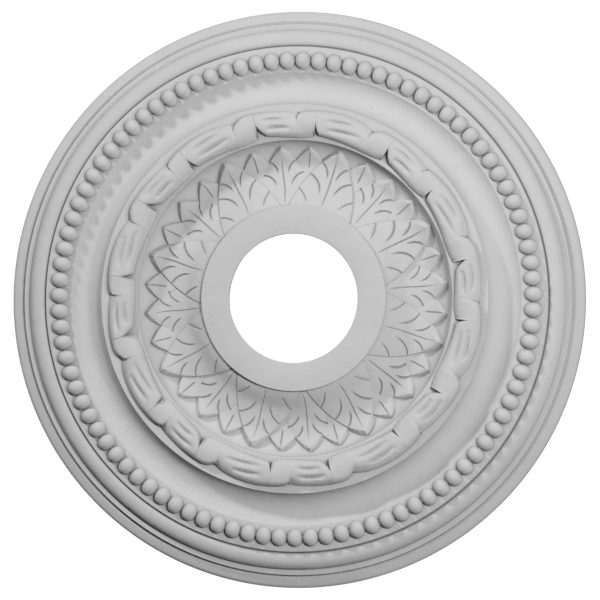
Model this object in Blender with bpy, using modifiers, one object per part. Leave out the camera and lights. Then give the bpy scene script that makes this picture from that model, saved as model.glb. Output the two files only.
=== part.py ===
"""Ceiling rose: one round moulded casting that is fixed face down to a ceiling.

Everything is worked out face up, with the back on the plane z = 0 and heights counted from it,
and an empty on the ceiling turns the whole rose over. The axis of the hole is the Z axis.
From the hole outwards the face has a flat ring, a bowl of sixteen long leaves with small tips
between them, a raised bed with a plaited strand, a hollow cove, a flat band with a row of beads,
a half-round moulding and two fillets. Lengths are in metres.
"""

import math

import bmesh
import bpy
from mathutils import Matrix

# Sizes across the face
ROSE_DIAMETER = 0.400
HOLE_DIAMETER = 0.0888
HOLE_RELIEF = 0.0036
RING_WIDTH = 0.0197
EDGE_FILLET_WIDTH = 0.0066
EDGE_STEP_WIDTH = 0.0024
INNER_FILLET_WIDTH = 0.0037
TORUS_WIDTH = 0.0116
BAND_STEP_WIDTH = 0.0011
BAND_WIDTH = 0.0178
COVE_WIDTH = 0.0233
COVE_CURVE = 0.0140
BED_WIDTH = 0.0241
BOWL_WALL_WIDTH = 0.0110
EDGE_ROUNDING = 0.0013

# Heights above the back
EDGE_HEIGHT = 0.0060
EDGE_FILLET_HEIGHT = 0.0076
INNER_FILLET_HEIGHT = 0.0100
TORUS_HEIGHT = 0.0158
TORUS_INNER_HEIGHT = 0.0145
TORUS_TOP_SHARE = 0.27
BAND_HEIGHT = 0.0167
COVE_FLOOR_HEIGHT = 0.0135
BED_HEIGHT = 0.0237
BOWL_FLOOR_HEIGHT = 0.0125
RING_HEIGHT = 0.0275

# Row of beads
BEAD_LENGTH = 0.0126
BEAD_PITCH = 0.0109
BEAD_GAP = 0.0004
BEAD_SINK = 0.15
BEAD_RISE = 0.0050
BEAD_INSET = 0.0095
FIRST_BEAD_ANGLE = 0.9

# Plaited strand: its edges swell in lobes that end at notches. The places of the notches, from the
# middle of a front leaf, and the step between sections are shares of the angle between two such leaves
STRAND_INNER_MARGIN = 0.0018
STRAND_OUTER_MARGIN = 0.0023
STRAND_RISE = 0.0058
STRAND_SHOULDER = 0.45
STRAND_CROWN = 0.5
LOBE_SWELL = 0.0030
OUTER_NOTCHES = (-0.191, 0.359)
INNER_NOTCHES = (-0.347, 0.213)
LOBE_SKEW = 1.6
LOBE_FULLNESS = 0.6
STRAND_STATION_STEP = 0.09

# Leaves: outlines are pairs of a share of the leaf's length from its root
# and a share of the angle between two front leaves
LEAF_COUNT = 8
FIRST_LEAF_ANGLE = 28.0
LEAF_TIP_GAP = 0.0007
LEAF_TIP_DROP = 0.0014
LEAF_ROOT_DROP = 0.0015
STEM_ROOT_DROP = 0.0004
LEAF_TROUGH_RISE = 0.0040
LAYER_DROP = 0.0012
EDGE_DROP = 0.0009
MIDRIB_DROP = 0.0008
TROUGH_SHARE = 0.63
ROOT_CURL = 2.2
TIP_CURL = 1.85
ROOT_REACH = 0.0030
FRONT_OUTLINE = ((0.0, 0.427), (0.15, 0.386), (0.33, 0.332), (0.546, 0.251), (0.777, 0.144), (1.0, 0.006))
BACK_OUTLINE = ((0.0, 0.095), (0.15, 0.15), (0.33, 0.20), (0.546, 0.27), (0.777, 0.144), (1.0, 0.006))
TIP_OUTLINE = ((0.55, 0.0), (0.82, 0.111), (0.985, 0.0))

# Facets
TURN_STEPS = 64
COVE_STEPS = 6
BOWL_STEPS = 3
ROUND_STEPS = 2
TORUS_STEPS = 4
BEAD_SIDES = 6
BEAD_RINGS = 4
SHARP_ANGLE = 35
FLATNESS = 1e-7

# Places that follow from the sizes
ROSE_RADIUS = ROSE_DIAMETER / 2
HOLE_RADIUS = HOLE_DIAMETER / 2
RING_RADIUS = HOLE_RADIUS + RING_WIDTH
EDGE_STEP_RADIUS = ROSE_RADIUS - EDGE_FILLET_WIDTH
INNER_FILLET_RADIUS = EDGE_STEP_RADIUS - EDGE_STEP_WIDTH
TORUS_RADIUS = INNER_FILLET_RADIUS - INNER_FILLET_WIDTH
BAND_STEP_RADIUS = TORUS_RADIUS - TORUS_WIDTH
BAND_RADIUS = BAND_STEP_RADIUS - BAND_STEP_WIDTH
COVE_RADIUS = BAND_RADIUS - BAND_WIDTH
BED_RADIUS = COVE_RADIUS - COVE_WIDTH
BOWL_RADIUS = BED_RADIUS - BED_WIDTH
BEAD_RING_RADIUS = BAND_RADIUS - BEAD_INSET
LEAF_TIP_RADIUS = BOWL_RADIUS - LEAF_TIP_GAP
LEAF_PERIOD = 360 / LEAF_COUNT
SINK = BOWL_FLOOR_HEIGHT / 3


def polar(radius, degrees, height):
    """A point at a radius and an angle round the hole, and a height above the back."""
    angle = math.radians(degrees)
    return (radius * math.cos(angle), radius * math.sin(angle), height)


def quarter(start, end, steps, leaves_upright):
    """Points of a quarter ellipse after start, up to and with end, in radius and height."""
    points = []
    for step in range(1, steps + 1):
        angle = math.pi / 2 * step / steps
        slow, fast = 1 - math.cos(angle), math.sin(angle)
        across, up = (slow, fast) if leaves_upright else (fast, slow)
        points.append((start[0] + (end[0] - start[0]) * across, start[1] + (end[1] - start[1]) * up))
    return points


def cove(steps):
    """Points of one arc that comes down from the bed's edge to the cove's floor and up to the band."""
    middle = COVE_FLOOR_HEIGHT + COVE_CURVE
    outer = math.acos((middle - BAND_HEIGHT) / COVE_CURVE)
    inner = math.acos((middle - BED_HEIGHT) / COVE_CURVE)
    floor_radius = COVE_RADIUS - COVE_CURVE * math.sin(outer)
    points = []
    for step in range(steps + 1):
        angle = (inner + outer) * step / steps - inner
        points.append((floor_radius + COVE_CURVE * math.sin(angle), middle - COVE_CURVE * math.cos(angle)))
    return points


def face_profile():
    """The section of the rose, from the hole's edge out across the face and back along the ceiling."""
    torus_top = (BAND_STEP_RADIUS + TORUS_WIDTH * TORUS_TOP_SHARE, TORUS_HEIGHT)
    bowl_foot = (BOWL_RADIUS - BOWL_WALL_WIDTH, BOWL_FLOOR_HEIGHT)
    profile = [(HOLE_RADIUS, RING_HEIGHT), (RING_RADIUS, RING_HEIGHT), (RING_RADIUS, BOWL_FLOOR_HEIGHT)]
    profile += [bowl_foot]
    profile += quarter(bowl_foot, (BOWL_RADIUS, BED_HEIGHT), BOWL_STEPS, leaves_upright=False)
    profile += cove(COVE_STEPS)
    profile += [(BAND_RADIUS, BAND_HEIGHT), (BAND_STEP_RADIUS, TORUS_INNER_HEIGHT)]
    profile += quarter(profile[-1], torus_top, ROUND_STEPS, leaves_upright=True)
    profile += quarter(torus_top, (TORUS_RADIUS, INNER_FILLET_HEIGHT), TORUS_STEPS, leaves_upright=False)
    profile += [(INNER_FILLET_RADIUS, INNER_FILLET_HEIGHT), (EDGE_STEP_RADIUS, EDGE_FILLET_HEIGHT)]
    profile += [(ROSE_RADIUS - EDGE_ROUNDING, EDGE_HEIGHT), (ROSE_RADIUS, EDGE_HEIGHT - EDGE_ROUNDING)]
    profile += [(ROSE_RADIUS, 0), (HOLE_RADIUS + HOLE_RELIEF, 0)]
    return profile


def new_object(name, collection, parent):
    """An empty mesh object in a collection, turned over with its parent."""
    item = bpy.data.objects.new(name, bpy.data.meshes.new(name))
    item.parent = parent
    collection.objects.link(item)
    return item


def turned_body(item):
    """The section turned round the hole's axis."""
    profile = face_profile()
    shape = bmesh.new()
    corners = [shape.verts.new((radius, 0, height)) for radius, height in profile]
    for corner, following in zip(corners, corners[1:] + corners[:1]):
        shape.edges.new((corner, following))
    shape.to_mesh(item.data)
    shape.free()
    screw = item.modifiers.new("turn", "SCREW")
    screw.steps = TURN_STEPS
    screw.render_steps = TURN_STEPS
    screw.use_merge_vertices = True
    screw.merge_threshold = 0.00001


def stitch(shape, sections, closed_round):
    """Faces between rings of corners; an open run of rings gets a cap at each end."""
    rings = [[shape.verts.new(point) for point in section] for section in sections]
    following = rings[1:] + rings[:1] if closed_round else rings[1:]
    for ring, after in zip(rings, following):
        for index in range(len(ring)):
            side = (index + 1) % len(ring)
            shape.faces.new((ring[index], ring[side], after[side], after[index]))
    if not closed_round:
        shape.faces.new(rings[0])
        shape.faces.new(rings[-1])


def is_flat(face):
    """Whether every corner of a face lies in its plane."""
    centre = face.calc_center_median()
    return all(abs((corner.co - centre).dot(face.normal)) < FLATNESS for corner in face.verts)


def finish(shape, item):
    """Faces pointing out, twisted ones split into triangles, into the object's mesh."""
    bmesh.ops.recalc_face_normals(shape, faces=shape.faces)
    twisted = [face for face in shape.faces if not is_flat(face)]
    bmesh.ops.triangulate(shape, faces=twisted)
    shape.to_mesh(item.data)
    shape.free()


def bead_row(item):
    """Domes in a ring, a hair apart, as many as the pitch lets in."""
    count = round(2 * math.pi * BEAD_RING_RADIUS / BEAD_PITCH)
    width = 2 * BEAD_RING_RADIUS * math.sin(math.pi / count) - BEAD_GAP
    size = (BEAD_LENGTH / 2, width / 2, BEAD_RISE * (1 + BEAD_SINK))
    place = (BEAD_RING_RADIUS, 0, BAND_HEIGHT - BEAD_RISE * BEAD_SINK)
    shape = bmesh.new()
    for number in range(count):
        ball = bmesh.ops.create_uvsphere(shape, u_segments=BEAD_SIDES, v_segments=BEAD_RINGS, radius=1)
        bead = ball["verts"]
        bmesh.ops.scale(shape, verts=bead, vec=size)
        bmesh.ops.translate(shape, verts=bead, vec=place)
        turn = Matrix.Rotation(math.radians(FIRST_BEAD_ANGLE + 360 * number / count), 3, "Z")
        bmesh.ops.rotate(shape, verts=bead, cent=(0, 0, 0), matrix=turn)
    finish(shape, item)


def lobe(turn, notches, bulges_late):
    """How far an edge swells: nothing at a notch, all the way in the fat end of a lobe."""
    starts = sorted(notches) + [min(notches) + 1]
    place = min(notches) + (turn - min(notches)) % 1
    for start, end in zip(starts, starts[1:]):
        if start <= place < end:
            share = (place - start) / (end - start)
    if not bulges_late:
        share = 1 - share
    return max(math.sin(math.pi * share ** LOBE_SKEW), 0) ** LOBE_FULLNESS


def strand_section(turn):
    """An arch over the bed between the two swelling edges, on upright feet that go into the bed."""
    inner = BOWL_RADIUS + STRAND_INNER_MARGIN
    inner += LOBE_SWELL * (1 - lobe(turn, INNER_NOTCHES, bulges_late=False))
    outer = BED_RADIUS - STRAND_OUTER_MARGIN
    outer -= LOBE_SWELL * (1 - lobe(turn, OUTER_NOTCHES, bulges_late=True))
    half = (outer - inner) / 2
    degrees = FIRST_LEAF_ANGLE + turn * LEAF_PERIOD
    across = [(half, -SINK), (half, STRAND_RISE * STRAND_SHOULDER), (half * STRAND_CROWN, STRAND_RISE)]
    arch = across + [(-aside, rise) for aside, rise in reversed(across)]
    return [polar(inner + half + aside, degrees, BED_HEIGHT + rise) for aside, rise in arch]


def plaited_strand(item):
    """A closed strand along the bed, with a section at each notch and evenly between the notches."""
    marks = sorted(OUTER_NOTCHES + INNER_NOTCHES)
    stations = []
    for mark, following in zip(marks, marks[1:] + [marks[0] + 1]):
        pieces = math.ceil((following - mark) / STRAND_STATION_STEP)
        stations += [mark + (following - mark) * piece / pieces for piece in range(pieces)]
    sections = [strand_section(number + station) for number in range(LEAF_COUNT) for station in stations]
    shape = bmesh.new()
    stitch(shape, sections, closed_round=True)
    finish(shape, item)


def leaf_height(share, root_height):
    """The leaf falls from the ring to a trough, then rises to its tip."""
    trough = BOWL_FLOOR_HEIGHT + LEAF_TROUGH_RISE
    if share < TROUGH_SHARE:
        return trough + (root_height - trough) * ((TROUGH_SHARE - share) / TROUGH_SHARE) ** ROOT_CURL
    rise = BED_HEIGHT - LEAF_TIP_DROP - trough
    return trough + rise * ((share - TROUGH_SHARE) / (1 - TROUGH_SHARE)) ** TIP_CURL


def leaf_radius(share):
    """Radius at a share of the leaf's length from the ring."""
    return RING_RADIUS + (LEAF_TIP_RADIUS - RING_RADIUS) * share


def leaf(shape, centre, outline, root_height, drop):
    """A long leaf with a sunk midrib between two swollen halves, standing on the bowl's floor."""
    foot = BOWL_FLOOR_HEIGHT - SINK
    sections = []
    for share, spread in outline:
        radius = leaf_radius(share) if share > 0 else RING_RADIUS - ROOT_REACH
        height = leaf_height(share, root_height) - drop
        reach = spread * LEAF_PERIOD
        half = ((0, height - MIDRIB_DROP), (reach / 2, height), (reach, height - EDGE_DROP), (reach, foot))
        across = [(-aside, level) for aside, level in reversed(half[1:])] + list(half)
        sections.append([polar(radius, centre + aside, level) for aside, level in across])
    stitch(shape, sections, closed_round=False)


def leaf_tip(shape, centre):
    """A small tip that looks out between two long leaves: a diamond folded along its middle."""
    foot = BOWL_FLOOR_HEIGHT - SINK
    (low, _), (middle, spread), (high, _) = TIP_OUTLINE
    corners = ((low, 0, MIDRIB_DROP), (middle, -spread, 0), (high, 0, MIDRIB_DROP), (middle, spread, 0))
    top = []
    bottom = []
    for share, aside, fold in corners:
        height = leaf_height(share, RING_HEIGHT) - 2 * LAYER_DROP - fold
        top.append(shape.verts.new(polar(leaf_radius(share), centre + aside * LEAF_PERIOD, height)))
        bottom.append(shape.verts.new(polar(leaf_radius(share), centre + aside * LEAF_PERIOD, foot)))
    shape.faces.new((top[0], top[1], top[2]))
    shape.faces.new((top[0], top[2], top[3]))
    shape.faces.new(bottom)
    for index in range(len(top)):
        side = (index + 1) % len(top)
        shape.faces.new((top[index], top[side], bottom[side], bottom[index]))


def front_leaves(item):
    """The leaves that lie over all the others."""
    shape = bmesh.new()
    for number in range(LEAF_COUNT):
        centre = FIRST_LEAF_ANGLE + number * LEAF_PERIOD
        leaf(shape, centre, FRONT_OUTLINE, RING_HEIGHT - LEAF_ROOT_DROP, drop=0)
    finish(shape, item)


def back_leaves(item):
    """The leaves half hidden under the front ones, on stems that reach the ring's level."""
    shape = bmesh.new()
    for number in range(LEAF_COUNT):
        centre = FIRST_LEAF_ANGLE + (number + 0.5) * LEAF_PERIOD
        leaf(shape, centre, BACK_OUTLINE, RING_HEIGHT - STEM_ROOT_DROP + LAYER_DROP, drop=LAYER_DROP)
    finish(shape, item)


def leaf_tips(item):
    """The small tips deep between all neighbouring leaves."""
    shape = bmesh.new()
    for number in range(2 * LEAF_COUNT):
        leaf_tip(shape, FIRST_LEAF_ANGLE + (number / 2 + 0.25) * LEAF_PERIOD)
    finish(shape, item)


def matt_moulding():
    """Pale grey matt priming on moulded foam."""
    material = bpy.data.materials.new("matt_moulding")
    material.use_nodes = True
    shader = material.node_tree.nodes["Principled BSDF"]
    shader.inputs["Base Color"].default_value = (0.60, 0.60, 0.60, 1)
    shader.inputs["Roughness"].default_value = 0.75
    shader.inputs["Metallic"].default_value = 0
    return material


def main():
    for item in list(bpy.data.objects):
        bpy.data.objects.remove(item, do_unlink=True)
    parts = bpy.data.collections.new("ceiling rose")
    joined = bpy.data.collections.new("shapes joined to the rose")
    for collection in (parts, joined):
        bpy.context.scene.collection.children.link(collection)
    face_down = bpy.data.objects.new("face_down", None)
    face_down.rotation_euler = (math.pi, 0, 0)
    parts.objects.link(face_down)

    rose = new_object("ceiling_rose", parts, face_down)
    turned_body(rose)
    for make in (bead_row, plaited_strand, leaf_tips, back_leaves, front_leaves):
        carving = new_object(make.__name__, joined, face_down)
        make(carving)
        carving.hide_render = True
        carving.display_type = "WIRE"
        union = rose.modifiers.new(make.__name__, "BOOLEAN")
        union.operation = "UNION"
        union.solver = "EXACT"
        union.object = carving

    bpy.context.view_layer.update()
    evaluated = rose.evaluated_get(bpy.context.evaluated_depsgraph_get())
    casting = bpy.data.meshes.new_from_object(evaluated)
    casting.shade_smooth()
    casting.set_sharp_from_angle(angle=math.radians(SHARP_ANGLE))
    rose.modifiers.clear()
    rose.data = casting
    casting.name = "ceiling_rose"
    casting.materials.clear()
    casting.materials.append(matt_moulding())


main()
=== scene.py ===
# %% [markdown]
# # A moulded ceiling rose, seen from the floor
# The real object is one round casting, primed pale grey, glued face down to a ceiling. A ring round
# a hole carries the light fitting. Round it lie carved leaves in a bowl, a plaited strand on a raised
# bed, a hollow cove, a row of beads, a half round, a fillet and a sloping edge.
# It could be sculpted by hand, or drawn as one height picture and pushed out of a disc. Here each
# form is a surface worked out with numpy, and the forms are joined into one skin, because sharp
# seams between leaves, beads and mouldings then stay sharp from every side.

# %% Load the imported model
import math

import bpy
import numpy as np
from mathutils import Matrix, Vector


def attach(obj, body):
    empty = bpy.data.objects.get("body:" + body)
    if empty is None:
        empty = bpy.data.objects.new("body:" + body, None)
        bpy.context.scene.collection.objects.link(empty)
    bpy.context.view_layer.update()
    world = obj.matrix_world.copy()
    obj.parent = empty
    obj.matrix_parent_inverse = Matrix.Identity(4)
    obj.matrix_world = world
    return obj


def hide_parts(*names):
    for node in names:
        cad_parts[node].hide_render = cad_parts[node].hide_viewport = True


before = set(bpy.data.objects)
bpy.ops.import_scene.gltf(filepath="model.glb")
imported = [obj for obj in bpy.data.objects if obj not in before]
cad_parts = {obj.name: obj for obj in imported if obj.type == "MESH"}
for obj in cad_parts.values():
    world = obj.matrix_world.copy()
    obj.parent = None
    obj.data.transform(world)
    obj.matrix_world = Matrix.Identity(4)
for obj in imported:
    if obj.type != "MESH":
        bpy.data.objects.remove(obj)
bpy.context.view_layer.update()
scene = bpy.context.scene

# %% [markdown]
# ## Places on the rose
# Every form is easiest to think of face up: a radius from the hole's axis, an angle round it, and a
# height above the flat back. The rose hangs face down, so one helper turns such places over.
# Sizes are in millimetres here, and become metres in that helper.

# %% Turn polar places over to the ceiling
MM = 0.001


def hang(radius, degrees, height):
    """Places face down under the ceiling: (r cos a, -r sin a, -h), in metres."""
    radius, degrees, height = np.broadcast_arrays(radius, degrees, height)
    angle = np.radians(degrees)
    return np.stack([radius * np.cos(angle), -radius * np.sin(angle), -height], axis=-1) * MM


def blend(start, end, share):
    """A straight change from start to end: start + (end - start) share."""
    return start + (end - start) * share


def bent(start, bend, end, t):
    """A curve from start to end that is pulled towards bend: (1-t)^2 s + 2t(1-t) b + t^2 e."""
    return (1 - t) ** 2 * start + 2 * t * (1 - t) * bend + t ** 2 * end


print("a point on the rim hangs at", hang(200.0, 90.0, 5.0))

# %% [markdown]
# ## From a grid of points to a closed skin
# A shape here is a grid: rows run along the form and columns run round its section. Blender wants
# corners and faces, which could be added one at a time with bmesh. Whole index arrays are quicker:
# the grid is shifted by one row and one column, and the four shifted copies are the face corners.
# The sign of the enclosed volume tells whether the skin is inside out, and then it is reversed.

# %% Build meshes from grids
CM3 = 1e6


def shells(name, grids, rows_closed):
    """One mesh object from grids[copy, row, column, xyz]. Columns always close into a ring;
    rows close too, or each end gets a cap of one face."""
    copies, rows, columns, _ = grids.shape
    index = np.arange(copies * rows * columns).reshape(copies, rows, columns)
    ring = np.concatenate([index, index[:, :, :1]], axis=2)
    if rows_closed:
        ring = np.concatenate([ring, ring[:, :1]], axis=1)
    corners = [ring[:, :-1, :-1], ring[:, :-1, 1:], ring[:, 1:, 1:], ring[:, 1:, :-1]]
    quads = np.stack(corners, axis=-1).reshape(-1, 4)
    points = grids.reshape(-1, 3)
    quarter = points[quads]
    size = np.einsum("ij,ij->i", quarter[:, 0], np.cross(quarter[:, 1], quarter[:, 2])).sum()
    size += np.einsum("ij,ij->i", quarter[:, 0], np.cross(quarter[:, 2], quarter[:, 3])).sum()
    caps = np.empty((0, columns), int)
    if not rows_closed:
        caps = np.concatenate([index[:, 0, ::-1], index[:, -1]])
        spread_caps = points[caps]
        fan = np.cross(spread_caps[:, 1:-1] - spread_caps[:, :1], spread_caps[:, 2:] - spread_caps[:, :1])
        size += np.einsum("ik,ijk->", spread_caps[:, 0], fan)
    if size < 0:
        quads, caps = quads[:, ::-1], caps[:, ::-1]
    mesh = bpy.data.meshes.new(name)
    mesh.from_pydata(points, [], quads.tolist() + caps.tolist())
    mesh.update()
    shape = bpy.data.objects.new(name, mesh)
    scene.collection.objects.link(shape)
    print(name, "has", 2 * len(quads), "triangles and holds", round(abs(size) / 6 * CM3, 1), "cm3")
    return shape


# %% [markdown]
# ## The turned section
# On the real rose the ring, the bed, the cove, the band and the border are a section swept round the
# axis, as a plasterer's running mould does it. Spin or the Screw modifier could sweep a drawn line.
# A numpy grid does the same and lets one function round every corner of the section by its own
# amount, because a cast edge is never quite sharp.

# %% Name the radii and heights of the section
HOLE, RING_EDGE, BOWL_FOOT, BOWL_RIM, BED_EDGE = 44.4, 64.1, 98.4, 109.4, 133.5
COVE_EDGE, BAND_EDGE, TORUS_IN, TORUS_TOP, TORUS_OUT = 156.8, 174.6, 175.6, 178.8, 187.2
FILLET_OUT, STEP_OUT, EDGE_IN, RIM = 191.0, 193.4, 198.3, 200.0
RING_UP, BED_UP, BOWL_UP, COVE_UP, BAND_UP = 27.5, 23.7, 12.5, 13.5, 16.7
VALLEY_UP, TORUS_UP, FILLET_UP, STEP_UP, EDGE_UP, RIM_UP = 14.3, 15.8, 10.0, 7.5, 6.1, 4.8
COVE_CURVE, COVE_LIP, HOLE_RELIEF = 14.0, 2.0, 3.6
QUIRK, FOOT_QUIRK, TORUS_FOOT = 0.5, 0.2, 0.4
cove_middle = COVE_UP + COVE_CURVE
cove_out = math.degrees(math.acos((cove_middle - BAND_UP) / COVE_CURVE))
cove_in = math.degrees(math.acos((cove_middle - BED_UP) / COVE_CURVE))
cove_floor = COVE_EDGE - COVE_CURVE * math.sin(math.radians(cove_out))
print("the cove's floor is at radius", round(cove_floor, 1))

# %% Draw the section
CORNER_STEPS = 4


def soften(corners, steps):
    """Rounds the corners of a closed outline. Each row is radius, height and cut; the curve
    (1-t)^2 a + 2t(1-t) c + t^2 b runs between the points that lie a cut before and after the corner."""
    place, cut = corners[:, :2], corners[:, 2:]
    before, after = np.roll(place, 1, axis=0) - place, np.roll(place, -1, axis=0) - place
    start = place + before / np.linalg.norm(before, axis=1, keepdims=True) * cut
    end = place + after / np.linalg.norm(after, axis=1, keepdims=True) * cut
    t = np.linspace(0, 1, steps)[None, :, None]
    curve = bent(start[:, None], place[:, None], end[:, None], t)
    kept = (cut > 0) | (np.arange(steps) == 0)
    return curve[kept]


def bow(middle, size, start, end, steps):
    """Part of an ellipse: (m + a cos t, n + b sin t), t from start to end in degrees, with no cuts."""
    turn = np.radians(np.linspace(start, end, steps))
    across, up = middle[0] + size[0] * np.cos(turn), middle[1] + size[1] * np.sin(turn)
    return np.stack([across, up, np.zeros(steps)], axis=-1)


cove_start, cove_end = -90 - cove_in, -90 - COVE_LIP + cove_out
torus_foot = FILLET_UP - TORUS_FOOT
section = soften(np.concatenate([
    [(HOLE + HOLE_RELIEF, 0, 0.3), (HOLE, RING_UP, 1.0), (RING_EDGE, RING_UP, 0.6), (RING_EDGE, BOWL_UP, 0)],
    bow((BOWL_FOOT, BED_UP), (BOWL_RIM - BOWL_FOOT, BED_UP - BOWL_UP), -90, -8, steps=8),
    [(BOWL_RIM, BED_UP, 0.8), (BED_EDGE, BED_UP, 0.6)],
    bow((cove_floor, cove_middle), (COVE_CURVE, COVE_CURVE), cove_start, cove_end, steps=18),
    [(COVE_EDGE, BAND_UP, 0.3), (BAND_EDGE, BAND_UP, 0.5), (TORUS_IN - 0.1, VALLEY_UP - QUIRK, 0.1)],
    bow((TORUS_TOP, VALLEY_UP), (TORUS_TOP - TORUS_IN, TORUS_UP - VALLEY_UP), 180, 100, steps=6),
    bow((TORUS_TOP, torus_foot), (TORUS_OUT - TORUS_TOP, TORUS_UP - torus_foot), 90, 4, steps=12),
    [(TORUS_OUT + 0.4, FILLET_UP - FOOT_QUIRK, 0.2), (FILLET_OUT, FILLET_UP, 0.5)],
    [(FILLET_OUT + 0.7, STEP_UP - QUIRK, 0.3), (STEP_OUT, STEP_UP, 0.3)],
    [(EDGE_IN, EDGE_UP, 0.7), (RIM, RIM_UP, 0.8), (RIM, 0, 0.3)],
]), CORNER_STEPS)
print("the section has", len(section), "points")

# %% Sweep the section round the axis
TURNS = 288

turn = np.arange(TURNS) * 360 / TURNS
body = shells("turned_body", hang(section[:, 0], turn[:, None], section[:, 1])[None], rows_closed=True)

# %% [markdown]
# ## The row of beads
# Ninety-five beads stand on the band, each as wide as the next one lets it be, so neighbours meet in
# a narrow neck. They could be copies of one sphere. One closed necklace is simpler to join: its
# section is a half ellipse whose width follows a circle from neck to neck.

# %% String the beads
BEADS, BEAD_RING, BEAD_HALF, BEAD_LONG, BEAD_UP, FIRST_BEAD = 95, 165.0, 6.3, 5.58, 5.4, 0.9
BEAD_UNDER, BEAD_STATIONS = 1.5, 12
BEAD_SECTION = np.array([0, 14, 32, 50, 70, 90, 110, 130, 148, 166, 180, 215, 270, 325])

station = np.arange(BEADS * BEAD_STATIONS)
pitch = 360 / BEADS
from_centre = (station % BEAD_STATIONS / BEAD_STATIONS - 0.5) * pitch
along = np.radians(from_centre) * BEAD_RING
swell = np.sqrt(1 - (along / BEAD_LONG) ** 2)[:, None]
round_turn = np.radians(BEAD_SECTION)
aside = BEAD_HALF * swell * np.cos(round_turn)
lift = np.where(BEAD_SECTION <= 180, BEAD_UP, BEAD_UNDER) * swell * np.sin(round_turn)
bead_angle = FIRST_BEAD + (station // BEAD_STATIONS)[:, None] * pitch + from_centre[:, None]
beads = shells("beads", hang(BEAD_RING + aside, bead_angle, BAND_UP + lift)[None], rows_closed=True)

# %% [markdown]
# ## The plaited strand
# A flat plait runs on the bed. Its edges swell in lobes: sixteen overlap on the outer edge and
# sixteen on the inner one, a long and a short lobe in turn. Each lobe ends high and steep, the next
# starts low under it, and two soft slits, the eyes, run along each. It could be two ribbons wound
# round each other. The real one is a shallow cast relief, so one strip is used, whose edges and
# heights are read from tables of lobes.

# %% Draw the lobes along the strand's edges
PERIOD, PERIODS = 45.0, 8
OUTER_EDGE = np.array([
    (19.4, 126.8), (20.2, 128.0), (21.4, 128.8), (23.5, 129.9), (26.7, 130.7), (31.0, 131.2),
    (34.9, 131.1), (38.1, 130.5), (40.6, 129.9), (42.4, 129.0), (43.6, 127.8), (44.9, 128.6),
    (47.0, 129.3), (50.6, 129.9), (54.1, 130.5), (57.7, 130.8), (60.6, 130.7), (62.3, 129.6),
    (63.6, 127.6), (64.4, 126.8)])
INNER_EDGE = np.array([
    (37.61, 113.0), (39.0, 111.7), (41.0, 110.9), (43.5, 110.7), (48.0, 111.3), (52.0, 112.4),
    (54.3, 113.2), (55.3, 114.6), (56.4, 116.9), (57.39, 119.9), (57.41, 113.0), (59.0, 111.7),
    (61.5, 110.9), (64.5, 110.8), (70.0, 111.5), (77.0, 112.5), (81.0, 113.2), (81.6, 114.3),
    (82.1, 116.0), (82.59, 118.6), (82.61, 113.0)])
STRAND_START = OUTER_EDGE[0, 0]


def read_round(table, degrees):
    """A value at any angle, such as an edge's radius, from the table of one period laid end to end."""
    start = table[0, 0]
    return np.interp(start + (degrees - start) % PERIOD, table[:, 0], table[:, 1])


one_period = np.arange(PERIOD)
widths = read_round(OUTER_EDGE, one_period) - read_round(INNER_EDGE, one_period)
print("the strand is", round(widths.min(), 1), "to", round(widths.max(), 1), "mm wide")

# %% Hollow the eyes
EYES = np.array([
    (24.8, 125.0, 29.0, 124.9, 34.9, 123.5), (21.8, 119.2, 28.0, 118.6, 33.7, 117.6),
    (46.3, 123.1, 51.5, 125.0, 55.6, 123.9), (46.1, 117.2, 50.5, 118.9, 54.1, 118.0)])
EYE_DEPTH, EYE_WIDTH, EYE_FULLNESS, EYE_STEPS = 1.7, 1.35, 0.6, 30


def eye_hollows(radius, degrees):
    """Depth of the soft slits: d sin(pi t)^0.6 exp(-(r - path)^2 / w^2) around each eye's bent path."""
    t = np.linspace(0, 1, EYE_STEPS)
    depth = np.zeros_like(radius)
    for first_angle, first_radius, bend_angle, bend_radius, last_angle, last_radius in EYES:
        path_angle = bent(first_angle, bend_angle, last_angle, t)
        local = path_angle[0] + (degrees - path_angle[0]) % PERIOD
        path = np.interp(local, path_angle, bent(first_radius, bend_radius, last_radius, t))
        share = np.interp(local, path_angle, t, right=0)
        fade = np.sin(np.pi * share) ** EYE_FULLNESS
        depth += EYE_DEPTH * fade * np.exp(-((radius - path) / EYE_WIDTH) ** 2)
    return depth


print("the strand has", len(EYES) * PERIODS, "eyes")

# %% Round the strand and sink the starts of its lobes
STRAND_UP, STRAND_CROWN = 5.7, 1.3
STEEP_ROUND, INNER_ROUND, OUTER_ROUND = 2.4, 3.6, 5.2
LOBE_SINK, SINK_FALL = 0.55, 3.5
OUTER_LOBES = np.array([(19.4, 1.0), (19.9, 0.0), (43.6, 1.0), (44.1, 0.0), (64.4, 1.0)])
INNER_LOBES = np.array([(37.6, 1.0), (38.1, 0.0), (57.4, 1.0), (57.9, 0.0), (82.6, 1.0)])


def roundings(degrees, width):
    """Widths of the two rounded edges, which narrow from a lobe's start to its steep end."""
    inner_round = blend(INNER_ROUND, STEEP_ROUND, read_round(INNER_LOBES, degrees))
    outer_round = blend(OUTER_ROUND, STEEP_ROUND, read_round(OUTER_LOBES, degrees))
    fit = np.minimum(1, width / (inner_round + outer_round))
    return inner_round * fit, outer_round * fit


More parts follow.
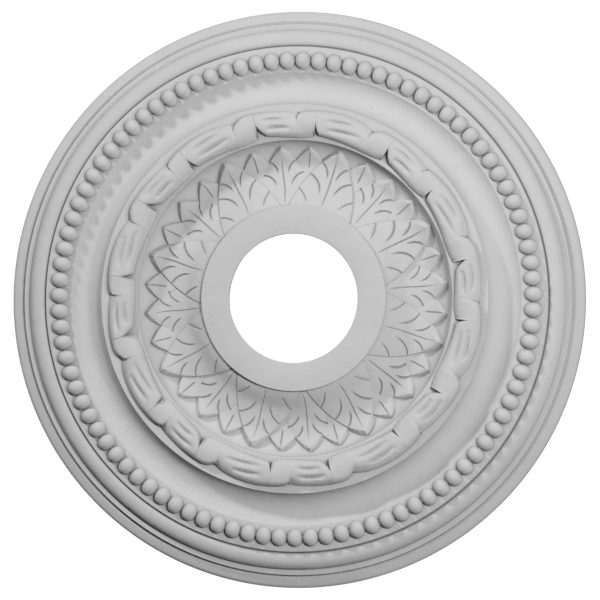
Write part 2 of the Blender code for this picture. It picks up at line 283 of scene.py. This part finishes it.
def strand_height(radius, degrees):
    """Height of the strand: full height inside, and h sqrt(1 - (1 - d/w)^2) at a distance d from
    an edge whose rounding is w wide. A low crown follows from 1 - x^2 between the edges, each lobe
    sinks near its edge towards its start, where it dives under the last, by l x^3.5 at a share x
    across, and the eyes are taken away."""
    inner, outer = read_round(INNER_EDGE, degrees), read_round(OUTER_EDGE, degrees)
    inner_round, outer_round = roundings(degrees, outer - inner)
    from_inner = np.clip((radius - inner) / inner_round, 0, 1)
    from_outer = np.clip((outer - radius) / outer_round, 0, 1)
    arch = np.sqrt(1 - (1 - from_inner) ** 2) * np.sqrt(1 - (1 - from_outer) ** 2)
    crown = 1 - (2 * (radius - inner) / (outer - inner) - 1) ** 2
    full = (STRAND_UP - STRAND_CROWN) * arch + STRAND_CROWN * np.clip(crown, 0, 1) * arch
    across = np.clip((radius - inner) / (outer - inner), 0, 1)
    sink = across ** SINK_FALL * (1 - read_round(OUTER_LOBES, degrees))
    sink += (1 - across) ** SINK_FALL * (1 - read_round(INNER_LOBES, degrees))
    return BED_UP + full * (1 - LOBE_SINK * sink) - eye_hollows(radius, degrees) * arch


# %% Lay the strand along the bed
STRAND_STEP, STRAND_MIDDLE, STRAND_FOOT = 0.5, 14, 1.2
ROUND_STATIONS = np.array([0, 12, 25, 40, 55, 72, 90])

even = np.arange(0, PERIOD, STRAND_STEP) + STRAND_START
marks = np.concatenate([even, OUTER_EDGE[:-1, 0], INNER_EDGE[:, 0], OUTER_LOBES[:-1, 0], INNER_LOBES[:, 0]])
marks = np.unique(np.round(STRAND_START + (marks - STRAND_START) % PERIOD, 3))
columns = (np.arange(PERIODS)[:, None] * PERIOD + marks).ravel()
inner, outer = read_round(INNER_EDGE, columns)[:, None], read_round(OUTER_EDGE, columns)[:, None]
inner_round, outer_round = roundings(columns[:, None], outer - inner)
share = 1 - np.cos(np.radians(ROUND_STATIONS))
inner_side = inner + share * inner_round
outer_side = outer - share[::-1] * outer_round
middle = blend(inner_side[:, -1:], outer_side[:, :1], np.linspace(0, 1, STRAND_MIDDLE + 2)[1:-1])
reach = np.concatenate([inner, inner_side, middle, outer_side, outer], axis=1)
height = strand_height(reach, columns[:, None])
height[:, [0, -1]] = BED_UP - STRAND_FOOT
strand = shells("strand", hang(reach, columns[:, None], height)[None], rows_closed=True)
print("the strand stands", round(height.max() - BED_UP, 1), "mm above the bed")

# %% [markdown]
# ## The leaves
# Thirty-two tips look out of the bowl: eight long front leaves, eight half under them, and sixteen
# small ones behind all others. A leaf could be modelled once by hand and copied. Their edges follow
# one curve, the angle a v^0.88 at a share v from tip to root, so each kind is one grid of
# rows across the leaf: an upright foot, a slanting side, and a swollen top that follows the bowl.

# %% Give the bowl of leaves its fall and rise
LEAF_ROOT_UP, LEAF_TROUGH_UP, LEAF_TIP_UP = 25.6, 15.8, 24.6
BOWL_SLOPES = np.array([
    (63.0, 0.3), (65.0, 0.45), (69.0, 1.0), (72.0, 1.25), (75.0, 1.1), (78.0, 0.65), (82.0, 0.4),
    (88.0, 0.22), (92.6, 0.0), (97.0, 0.2), (101.0, 0.3), (105.0, 0.45), (109.2, 0.8)])
BOWL_STEPS = 200

bowl_radius = np.linspace(BOWL_SLOPES[0, 0], BOWL_SLOPES[-1, 0], BOWL_STEPS)
slope = np.interp(bowl_radius, BOWL_SLOPES[:, 0], BOWL_SLOPES[:, 1])
travel = np.concatenate([[0], np.cumsum((slope[1:] + slope[:-1]) / 2)])
trough = np.argmin(slope)
down = LEAF_ROOT_UP - travel / travel[trough] * (LEAF_ROOT_UP - LEAF_TROUGH_UP)
rise = (travel - travel[trough]) / (travel[-1] - travel[trough])
bowl_height = np.where(bowl_radius < bowl_radius[trough], down, blend(LEAF_TROUGH_UP, LEAF_TIP_UP, rise))
print("the leaves fall to", round(bowl_height.min(), 1), "mm at radius", round(bowl_radius[trough], 1))

# %% Describe a kind of leaf
LEAF_TIP, LEAF_LENGTH, LEAF_SPREAD, LEAF_TAPER = 109.1, 43.6, 20.7, 0.88
NARROWINGS = {"back": 24.0, "small": 12.2}
LEVELS = {"front": 0.0, "back": 1.3, "small": 1.9}
EDGE_FALLS = {"front": 0.6, "back": 0.8, "small": 0.4}
EDGE_CURVE, EDGE_FADE = 2.4, 7.0


def spread(kind, v):
    """Half the leaf's angle at a share v from the tip: a v^0.88, or less where the leaf narrows again
    under its neighbours."""
    wide = LEAF_SPREAD * np.clip(v, 0, None) ** LEAF_TAPER
    if kind in NARROWINGS:
        wide = np.minimum(wide, NARROWINGS[kind] - wide)
    return wide


def smooth_step(low, high, value):
    """0 below low, 1 above high, and 3t^2 - 2t^3 between them."""
    share = np.clip((value - low) / (high - low), 0, 1)
    return share * share * (3 - 2 * share)


def top_height(kind, radius, aside):
    """Height of a leaf's top at a share aside (-1 to 1) across it: the bowl's height, less the kind's
    level, less its edge fall times |aside|^2.4, which fades where the leaf is narrow."""
    half_width = np.radians(spread(kind, (LEAF_TIP - radius) / LEAF_LENGTH)) * radius
    fade = smooth_step(0, EDGE_FADE, half_width)
    level = np.interp(radius, bowl_radius, bowl_height) - LEVELS[kind]
    return level - EDGE_FALLS[kind] * fade * np.abs(aside) ** EDGE_CURVE


print("a front leaf is", round(2 * float(spread("front", 1.0)), 1), "degrees wide at its root")

# %% Lay out the leaves
FIRST_LEAF = 28.0
FIRST_SHARE, TIP_CROWDING, TOP_NARROWER, LEAF_FOOT = 0.004, 1.3, 0.02, 4.0
INSET, TIP_INSET, INSET_REACH = 2.7, 2.6, 0.25
WALL, TIP_WALL, WALL_REACH = 3.4, 5.6, 0.13


def leaf_grid(kind, first, count, last_share, rows, across, seed):
    """Grids of all leaves of a kind. v is squeezed towards the tip; the foot lies on the outline and
    the top's edge a little nearer the root, so that the side slants most at the tip. Each leaf sways,
    stretches and sinks by a little of its own."""
    chance = np.random.default_rng(seed)
    v = (FIRST_SHARE + (last_share - FIRST_SHARE) * np.linspace(0, 1, rows) ** TIP_CROWDING)[:, None]
    aside = np.linspace(-1, 1, across)[None, :]
    half = spread(kind, v)
    foot = LEAF_TIP - LEAF_LENGTH * v
    top = foot - (INSET + TIP_INSET * np.exp(-v / INSET_REACH))
    lift = top_height(kind, np.maximum(top, bowl_radius[0]), aside)
    thick = WALL + TIP_WALL * np.exp(-v / WALL_REACH)
    low = top_height(kind, foot, np.ones_like(v)) - thick
    buried = np.full_like(v, BOWL_UP - LEAF_FOOT)
    top_angle = half * aside * (1 - TOP_NARROWER * np.exp(-v))
    radius = np.concatenate([foot, foot, top + 0 * aside, foot, foot], axis=1)
    angle = np.concatenate([-half, -half, top_angle, half, half], axis=1)
    height = np.concatenate([buried, low, lift, low, buried], axis=1)
    centre = first + np.arange(count)[:, None, None] * 360 / count
    sway = chance.uniform(-0.25, 0.25, (count, 1, 1)) * np.sin(np.pi * v)
    stretch = chance.uniform(-0.35, 0.1, (count, 1, 1)) * (1 - v)
    sink = chance.uniform(-0.15, 0.15, (count, 1, 1)) * np.sin(np.pi * np.clip(v, 0, 1))
    return hang(radius + stretch, centre + angle + sway, height + sink)


small_grids = leaf_grid("small", FIRST_LEAF + 11.25, count=16, last_share=0.545, rows=16, across=9, seed=3)
back_grids = leaf_grid("back", FIRST_LEAF + 22.5, count=8, last_share=1.03, rows=26, across=15, seed=5)
front_grids = leaf_grid("front", FIRST_LEAF, count=8, last_share=1.03, rows=34, across=27, seed=7)
small = shells("small_leaves", small_grids, rows_closed=False)
back = shells("back_leaves", back_grids, rows_closed=False)
front = shells("front_leaves", front_grids, rows_closed=False)

# %% [markdown]
# ## Veins and notches cut into the relief
# The carver's V tool left a midrib and side veins in the leaves, and a notch where each outer lobe of
# the strand ends. A bump map could fake them, but they catch real shadow. Each groove is a long
# three-sided cutter whose lower edge runs under the surface, and a Boolean takes it away.

# %% Sweep V-shaped cutters along paths
GROOVE_LIFT = 1.2


def cutters(name, radius, degrees, height, half_width, depth):
    """Cutters along paths[groove, step]. The section is a triangle with its point a depth below the
    surface and its top a lift above it; its width grows in step, w (1 + lift / depth)."""
    angle = np.radians(degrees)
    x, y = radius * np.cos(angle), radius * np.sin(angle)
    ahead_x, ahead_y = np.gradient(x, axis=1), np.gradient(y, axis=1)
    norm = np.hypot(ahead_x, ahead_y)
    side_x, side_y = -ahead_y / norm, ahead_x / norm
    wide = half_width * (1 + GROOVE_LIFT / depth)
    left = np.stack([x + side_x * wide, -y - side_y * wide, -height - GROOVE_LIFT], axis=-1)
    point = np.stack([x, -y, -height + depth], axis=-1)
    right = np.stack([x - side_x * wide, -y + side_y * wide, -height - GROOVE_LIFT], axis=-1)
    return shells(name, np.stack([left, point, right], axis=2) * MM, rows_closed=False)


# %% Draw the veins of a leaf
GROOVE_STEPS = 12
MIDRIBS = {"front": (101.0, 66.0), "back": (98.3, 66.0), "small": (103.6, 90.4)}
SIDE_VEINS = {
    "front": [(96.2, 6.0, 86.0, 2.1), (87.6, 10.2, 74.8, 3.7), (77.0, 15.2, 67.5, 9.6)],
    "back": [(95.6, 5.6, 87.0, 2.2), (88.6, 9.0, 79.8, 3.8)],
    "small": [],
}
MIDRIB_HALF, SIDE_VEIN_HALF = 0.65, 0.95
MIDRIB_SWAY = {"front": 0.3, "back": 0.3, "small": 0.08}
MIDRIB_SHIFT, SIDE_VEIN_SHIFT = 0.6, 0.7


def veins(kind, first, count, seed):
    """Radius, angle, angle off the leaf's middle and half width of every groove, each [groove, step].
    The midrib sways by s sin(2 pi t) and thins out at both ends. A side vein leaves its leaf's edge,
    bends round and thins out where it meets the midrib."""
    chance = np.random.default_rng(seed)
    t = np.linspace(0, 1, GROOVE_STEPS)[None, :]
    centre = first + np.arange(count)[:, None] * 360 / count
    outer, inner = MIDRIBS[kind]
    sway = MIDRIB_SWAY[kind] * chance.uniform(-1, 1, (count, 1)) * np.sin(np.pi * 2 * t)
    shift = chance.uniform(-MIDRIB_SHIFT, MIDRIB_SHIFT, (count, 1)) * (1 - t)
    taper = np.clip(0.25 + 3 * t, 0, 1) * np.clip(0.2 + 6 * (1 - t), 0, 1)
    radius = [blend(outer, inner, t) + shift]
    angle = [centre + sway]
    aside = [sway]
    half_width = [np.repeat(MIDRIB_HALF * taper, count, axis=0)]
    taper = np.clip(0.25 + 3 * (1 - t), 0, 1)
    for start_radius, start_angle, end_radius, end_angle in SIDE_VEINS[kind]:
        bend_radius, bend_angle = blend(start_radius, end_radius, 0.3), end_angle * 1.25
        for sign in (-1, 1):
            shift = chance.uniform(-SIDE_VEIN_SHIFT, SIDE_VEIN_SHIFT, (count, 1))
            path_angle = sign * bent(start_angle, bend_angle, end_angle, t)
            radius.append(bent(start_radius, bend_radius, end_radius, t) + shift)
            angle.append(centre + path_angle)
            aside.append(np.repeat(path_angle, count, axis=0))
            half_width.append(np.repeat(SIDE_VEIN_HALF * taper, count, axis=0))
    return [np.concatenate(rows) for rows in (radius, angle, aside, half_width)]


# %% Carve the veins into all leaves
VEIN_DEPTH = 1.25
VEINED_LEAVES = [("front", 0, 8, 11), ("back", 22.5, 8, 12), ("small", 11.25, 16, 13)]

grooves = []
for kind, first, count, seed in VEINED_LEAVES:
    radius, angle, aside, width = veins(kind, FIRST_LEAF + first, count, seed)
    half = spread(kind, (LEAF_TIP - radius) / LEAF_LENGTH)
    surface = top_height(kind, radius, np.clip(aside / half, -1, 1))
    grooves.append(cutters(kind + "_veins", radius, angle, surface, width, VEIN_DEPTH * width))

# %% Carve the notches of the plait
NOTCHES = np.array([(43.4, 128.6, 43.8, 126.2, 44.2, 124.2), (64.1, 127.4, 64.5, 125.4, 64.9, 123.4)])
NOTCH_HALF, NOTCH_DEPTH = 0.6, 0.9

t = np.linspace(0, 1, GROOVE_STEPS)[None, :]
first_angle, first_radius, bend_angle, bend_radius, last_angle, last_radius = NOTCHES.T[:, :, None]
radius = np.tile(bent(first_radius, bend_radius, last_radius, t), (PERIODS, 1))
angle = np.arange(PERIODS)[:, None, None] * PERIOD + bent(first_angle, bend_angle, last_angle, t)
angle = angle.reshape(-1, GROOVE_STEPS)
strength = np.clip(1.4 - 1.1 * t, 0.3, 1)
surface = strand_height(radius, angle)
grooves.append(cutters("notches", radius, angle, surface, NOTCH_HALF * strength, NOTCH_DEPTH * strength))

# %% [markdown]
# ## One casting
# The real rose is a single pour, so the forms become one closed skin. Leaving them pushed through each
# other would look the same from outside, but would hide walls inside. The Boolean modifier's manifold
# solver joins closed shapes quickly. Then edges sharper than a limit are marked, so that swollen
# faces look smooth and the seams stay crisp.

# %% Join the forms and cut the grooves
SHARP_ANGLE = 34

steps = [(shape, "UNION") for shape in (beads, strand, small, back, front)]
steps += [(shape, "DIFFERENCE") for shape in grooves]
for shape, operation in steps:
    joint = body.modifiers.new(shape.name, "BOOLEAN")
    joint.operation = operation
    joint.solver = "MANIFOLD"
    joint.object = shape
bpy.context.view_layer.update()
evaluated = body.evaluated_get(bpy.context.evaluated_depsgraph_get())
casting = bpy.data.meshes.new_from_object(evaluated)
for shape in [body] + [shape for shape, _ in steps]:
    bpy.data.objects.remove(shape, do_unlink=True)
casting.name = "rose_casting"
rose = bpy.data.objects.new("rose_casting", casting)
scene.collection.objects.link(rose)
casting.shade_smooth()
casting.set_sharp_from_angle(angle=math.radians(SHARP_ANGLE))
casting.calc_loop_triangles()
print("the casting has", len(casting.loop_triangles), "triangles")

# %% [markdown]
# ## The matt priming
# The face is sprayed with a thin matt primer: nearly even grey, with faint cloudy patches, a fine tooth
# and a few dust specks under the paint. The back was left bare: greyer foam skin with pores. Both need
# cloudy tones and a fine tooth, so those are two node groups, built once. A painted image would do the
# same, but it would need an unwrapped surface and a file.

# %% Make and fill node trees
def new_group(name, inputs, outputs):
    """A shader node group with named sockets, and its input and output nodes."""
    tree = bpy.data.node_groups.new(name, "ShaderNodeTree")
    for label, kind, value in inputs:
        socket = tree.interface.new_socket(label, in_out="INPUT", socket_type="NodeSocket" + kind)
        if value is not None:
            socket.default_value = value
    for label, kind in outputs:
        tree.interface.new_socket(label, in_out="OUTPUT", socket_type="NodeSocket" + kind)
    return tree, tree.nodes.new("NodeGroupInput"), tree.nodes.new("NodeGroupOutput")


def noise(tree, vector, scale, detail, roughness):
    """A noise texture whose vector is a socket and whose scale is a socket or a number."""
    node = tree.nodes.new("ShaderNodeTexNoise")
    node.inputs["Detail"].default_value = detail
    node.inputs["Roughness"].default_value = roughness
    tree.links.new(vector, node.inputs["Vector"])
    if isinstance(scale, float):
        node.inputs["Scale"].default_value = scale
    else:
        tree.links.new(scale, node.inputs["Scale"])
    return node.outputs["Fac"]


def spread_out(tree, value, low, high, to_low, to_high):
    """Maps a value from one range to another and stops at its ends."""
    node = tree.nodes.new("ShaderNodeMapRange")
    for label, number in (("From Min", low), ("From Max", high), ("To Min", to_low), ("To Max", to_high)):
        node.inputs[label].default_value = number
    tree.links.new(value, node.inputs["Value"])
    return node.outputs["Result"]


def combine(tree, operation, first, second):
    """A Math node on two sockets or numbers."""
    node = tree.nodes.new("ShaderNodeMath")
    node.operation = operation
    for socket, value in zip(node.inputs, (first, second)):
        if isinstance(value, (int, float)):
            socket.default_value = value
        else:
            tree.links.new(value, socket)
    return node.outputs["Value"]


# %% Build the cloudy tones
tones, given, result = new_group(
    "cloudy_tones",
    [("Vector", "Vector", None), ("Light Tone", "Color", (0.62, 0.62, 0.62, 1)),
     ("Dark Tone", "Color", (0.58, 0.58, 0.58, 1)), ("Patch Scale", "Float", 14.0)],
    [("Color", "Color"), ("Patches", "Float")])
broad = noise(tones, given.outputs["Vector"], given.outputs["Patch Scale"], detail=3.0, roughness=0.55)
finer = noise(tones, given.outputs["Vector"], scale=160.0, detail=2.0, roughness=0.5)
both = combine(tones, "ADD", broad, combine(tones, "MULTIPLY", finer, 0.35))
patches = spread_out(tones, both, 0.45, 0.9, 0.0, 1.0)
mix = tones.nodes.new("ShaderNodeMix")
mix.data_type = "RGBA"
tones.links.new(patches, mix.inputs["Factor"])
tones.links.new(given.outputs["Light Tone"], mix.inputs["A"])
tones.links.new(given.outputs["Dark Tone"], mix.inputs["B"])
tones.links.new(mix.outputs["Result"], result.inputs["Color"])
tones.links.new(patches, result.inputs["Patches"])
print("cloudy_tones has", len(tones.nodes), "nodes")

# %% Build the fine tooth
tooth, given, result = new_group(
    "fine_tooth",
    [("Vector", "Vector", None), ("Tooth Scale", "Float", 900.0), ("Speck Scale", "Float", 130.0),
     ("Speck Size", "Float", 0.07)],
    [("Height", "Float")])
grain = noise(tooth, given.outputs["Vector"], given.outputs["Tooth Scale"], detail=2.0, roughness=0.6)
swells = noise(tooth, given.outputs["Vector"], scale=55.0, detail=2.0, roughness=0.5)
speck_places = noise(tooth, given.outputs["Vector"], scale=21.0, detail=1.0, roughness=0.5)
cells = tooth.nodes.new("ShaderNodeTexVoronoi")
tooth.links.new(given.outputs["Vector"], cells.inputs["Vector"])
tooth.links.new(given.outputs["Speck Scale"], cells.inputs["Scale"])
near = combine(tooth, "LESS_THAN", cells.outputs["Distance"], given.outputs["Speck Size"])
rare = combine(tooth, "GREATER_THAN", speck_places, 0.6)
specks = combine(tooth, "MULTIPLY", near, rare)
fine_part = combine(tooth, "MULTIPLY", grain, 0.5)
broad_part = combine(tooth, "MULTIPLY", swells, 2.0)
height_sum = combine(tooth, "ADD", combine(tooth, "ADD", fine_part, broad_part), specks)
tooth.links.new(height_sum, result.inputs["Height"])
print("fine_tooth has", len(tooth.nodes), "nodes")

# %% Build a cast finish
PAINT_IOR, PAINT_SPECULAR, ROUGHNESS_RANGE, TOOTH_HEIGHT = 1.45, 0.3, 0.06, 0.0002


def cast_finish(name, light, dark, patch_scale, tooth_scale, speck_size, roughness, strength):
    """A matt finish from the two groups: tones to colour, patches to roughness, tooth to bump."""
    material = bpy.data.materials.new(name)
    material.use_nodes = True
    tree = material.node_tree
    shader = tree.nodes["Principled BSDF"]
    shader.inputs["IOR"].default_value = PAINT_IOR
    shader.inputs["Specular IOR Level"].default_value = PAINT_SPECULAR
    coordinates = tree.nodes.new("ShaderNodeTexCoord").outputs["Object"]
    tone = tree.nodes.new("ShaderNodeGroup")
    tone.node_tree = tones
    tone.inputs["Light Tone"].default_value = light
    tone.inputs["Dark Tone"].default_value = dark
    tone.inputs["Patch Scale"].default_value = patch_scale
    fine = tree.nodes.new("ShaderNodeGroup")
    fine.node_tree = tooth
    fine.inputs["Tooth Scale"].default_value = tooth_scale
    fine.inputs["Speck Size"].default_value = speck_size
    bump = tree.nodes.new("ShaderNodeBump")
    bump.inputs["Strength"].default_value = strength
    bump.inputs["Distance"].default_value = TOOTH_HEIGHT
    low, high = roughness - ROUGHNESS_RANGE, roughness + ROUGHNESS_RANGE
    rough = spread_out(tree, tone.outputs["Patches"], 0.0, 1.0, low, high)
    for source, target in (
            (coordinates, tone.inputs["Vector"]), (coordinates, fine.inputs["Vector"]),
            (tone.outputs["Color"], shader.inputs["Base Color"]), (rough, shader.inputs["Roughness"]),
            (fine.outputs["Height"], bump.inputs["Height"]),
            (bump.outputs["Normal"], shader.inputs["Normal"])):
        tree.links.new(source, target)
    return material


priming = cast_finish(
    "matt_priming_with_painted_shade", light=(0.507, 0.507, 0.507, 1), dark=(0.478, 0.478, 0.478, 1), patch_scale=14.0,
    tooth_scale=700.0, speck_size=0.07, roughness=0.78, strength=1.8)
bare_back = cast_finish(
    "bare_foam_back", light=(0.40, 0.397, 0.39, 1), dark=(0.33, 0.327, 0.32, 1), patch_scale=9.0,
    tooth_scale=420.0, speck_size=0.16, roughness=0.85, strength=0.9)
print("finishes:", priming.name, "and", bare_back.name)

# %% [markdown]
# ## Painted shade in the crevices
# In the narrow places between leaves, beads and mouldings the base colour is darkened: this is painted
# shade, standing in for the shadow that falls there. A mask could be painted along every seam by hand.
# An Ambient Occlusion node finds such places by itself: it tells how much of the view from a point is
# free of surface close by.

# %% Paint shade into the crevices of the priming
CREVICE_SHADE_REACH, CREVICE_SHADE_SAMPLES, CREVICE_SHADE_TONE = 0.004, 8, 0.62
COVERED, OPEN = 0.35, 0.92


def paint_crevice_shade(material):
    """Paints shade into crevices: scales the base colour, from the whole of it where a point is open
    down to the crevice shade tone where it is covered."""
    tree = material.node_tree
    base_colour = tree.nodes["Principled BSDF"].inputs["Base Color"]
    paint = base_colour.links[0].from_socket
    hidden = tree.nodes.new("ShaderNodeAmbientOcclusion")
    hidden.inputs["Distance"].default_value = CREVICE_SHADE_REACH
    hidden.samples = CREVICE_SHADE_SAMPLES
    painted_shade = tree.nodes.new("ShaderNodeVectorMath")
    painted_shade.operation = "SCALE"
    unshaded_share = spread_out(tree, hidden.outputs["AO"], COVERED, OPEN, CREVICE_SHADE_TONE, 1.0)
    tree.links.new(paint, painted_shade.inputs["Vector"])
    tree.links.new(unshaded_share, painted_shade.inputs["Scale"])
    tree.links.new(painted_shade.outputs["Vector"], base_colour)


# Painted shade: the priming's base colour is darkened wherever surface lies close by.
paint_crevice_shade(priming)
print("crevices up to", CREVICE_SHADE_REACH / MM, "mm wide keep", CREVICE_SHADE_TONE, "of the paint's tone")

# %% Prime the face and leave the back bare
LOOKS_UP, BACK_DEPTH, BARE_EDGE_WIDTH, BARE_EDGE_UP = 0.9, 0.5, 0.4, 4.4

casting.materials.clear()
casting.materials.append(priming)
casting.materials.append(bare_back)
normals = np.zeros(len(casting.polygons) * 3)
centres = np.zeros(len(casting.polygons) * 3)
casting.polygons.foreach_get("normal", normals)
casting.polygons.foreach_get("center", centres)
x, y, z = centres.reshape(-1, 3).T
is_back = (normals[2::3] > LOOKS_UP) & (z > -BACK_DEPTH * MM)
is_back |= (np.hypot(x, y) > (RIM - BARE_EDGE_WIDTH) * MM) & (z > -BARE_EDGE_UP * MM)
casting.polygons.foreach_set("material_index", is_back.astype(np.int32))
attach(rose, "root")
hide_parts("ceiling_rose")
print("faces of the bare back:", int(is_back.sum()))

# %% [markdown]
# ## Camera
# The photograph looks straight up, a little from the right, through a long lens. The place is given as
# a direction from the rose and a distance; the lens follows, so that the rim has its size in the frame.
# It could be matched by eye. A rim and a hole that both sit right settle it better.

# %% Aim the camera
CAMERA_DISTANCE = 3.0
TOWARDS_CAMERA = Vector((0.121, 0.032, -0.992)).normalized()
AIM = Vector((0.0020, 0.0005, -0.005))
RIM_IN_FRAME = 288.3 / 600
SENSOR = 36.0
CAMERA_SIGHT = 20

camera = bpy.data.objects.new("camera", bpy.data.cameras.new("camera"))
scene.collection.objects.link(camera)
camera.data.sensor_width = SENSOR
camera.data.lens = RIM_IN_FRAME * SENSOR * CAMERA_DISTANCE / (RIM * MM)
camera.data.clip_end = CAMERA_SIGHT
camera_right = Vector((0, -1, 0)).cross(TOWARDS_CAMERA).normalized()
camera_up = TOWARDS_CAMERA.cross(camera_right)
turned = Matrix((camera_right, camera_up, TOWARDS_CAMERA)).transposed().to_4x4()
camera.matrix_world = Matrix.Translation(AIM + TOWARDS_CAMERA * CAMERA_DISTANCE) @ turned
scene.camera = camera
print("lens", round(camera.data.lens, 1), "mm at", CAMERA_DISTANCE, "m")

# %% [markdown]
# ## Studio light, white ground and floor
# The main lamp stands high on the right with a lower one beside it, and a third stands low at the upper
# left and throws the beads' long shadows. The rose was rendered under one lamp at a time, and the mix
# that came nearest to the photograph was worked out and then rounded. A fourth lamp lights the
# back alone. The white ground is the world itself: the camera sees it white, while the rose gets a dim
# share of it. The pale floor lies far below, where no view has it in front of the rose.

# %% Place the lights
METRE = 1000.0
LAMPS = [
    ("key_light", 20, 61, 1.7, 0.30, 19.8),
    ("right_light", 356, 45, 1.7, 0.25, 7.0),
    ("upper_left_light", 132, 25, 1.7, 0.16, 17.0),
    ("light_on_the_back", 215, -60, 2.0, 1.2, 42.0),
]


def soft_light(name, degrees, elevation, distance, size, energy):
    """A round lamp in the direction of an image angle and an elevation over the face."""
    high = math.radians(elevation)
    direction = hang(METRE * math.cos(high), degrees, METRE * math.sin(high))
    place = Vector(direction) * distance
    lamp = bpy.data.objects.new(name, bpy.data.lights.new(name, "AREA"))
    lamp.data.shape = "DISK"
    lamp.data.size = size
    lamp.data.energy = energy
    lamp.location = place
    lamp.rotation_euler = place.to_track_quat("Z", "Y").to_euler()
    lamp.visible_camera = False
    scene.collection.objects.link(lamp)
    print(name, "stands at", [round(value, 2) for value in place])


for lamp_values in LAMPS:
    soft_light(*lamp_values)

# %% Whiten the ground
GROUND_SEEN, GROUND_LIGHT = 1.05, 0.01

world = bpy.data.worlds.new("white_ground")
scene.world = world
world.use_nodes = True
nodes, links = world.node_tree.nodes, world.node_tree.links
seen, lit = nodes["Background"], nodes.new("ShaderNodeBackground")
for background, brightness in ((seen, GROUND_SEEN), (lit, GROUND_LIGHT)):
    background.inputs["Color"].default_value = (1, 1, 1, 1)
    background.inputs["Strength"].default_value = brightness
switch = nodes.new("ShaderNodeMixShader")
links.new(nodes.new("ShaderNodeLightPath").outputs["Is Camera Ray"], switch.inputs["Fac"])
links.new(lit.outputs["Background"], switch.inputs[1])
links.new(seen.outputs["Background"], switch.inputs[2])
links.new(switch.outputs["Shader"], nodes["World Output"].inputs["Surface"])
scene.view_settings.view_transform = "Standard"
print("the ground is seen at", GROUND_SEEN, "and lights the rose with", GROUND_LIGHT)

# %% Lay the floor
FLOOR_DROP, FLOOR_HALF = 3.8, 4.0

floor_points = np.array([(-1, -1, 0), (1, -1, 0), (1, 1, 0), (-1, 1, 0)]) * FLOOR_HALF - (0, 0, FLOOR_DROP)
floor_mesh = bpy.data.meshes.new("floor")
floor_mesh.from_pydata(floor_points, [], [(0, 1, 2, 3)])
floor = bpy.data.objects.new("floor", floor_mesh)
scene.collection.objects.link(floor)
pale = cast_finish(
    "pale_floor", light=(0.80, 0.80, 0.79, 1), dark=(0.76, 0.76, 0.75, 1), patch_scale=2.0,
    tooth_scale=300.0, speck_size=0.02, roughness=0.85, strength=0.1)
floor_mesh.materials.append(pale)
print("the floor lies", FLOOR_DROP, "m under the ceiling")
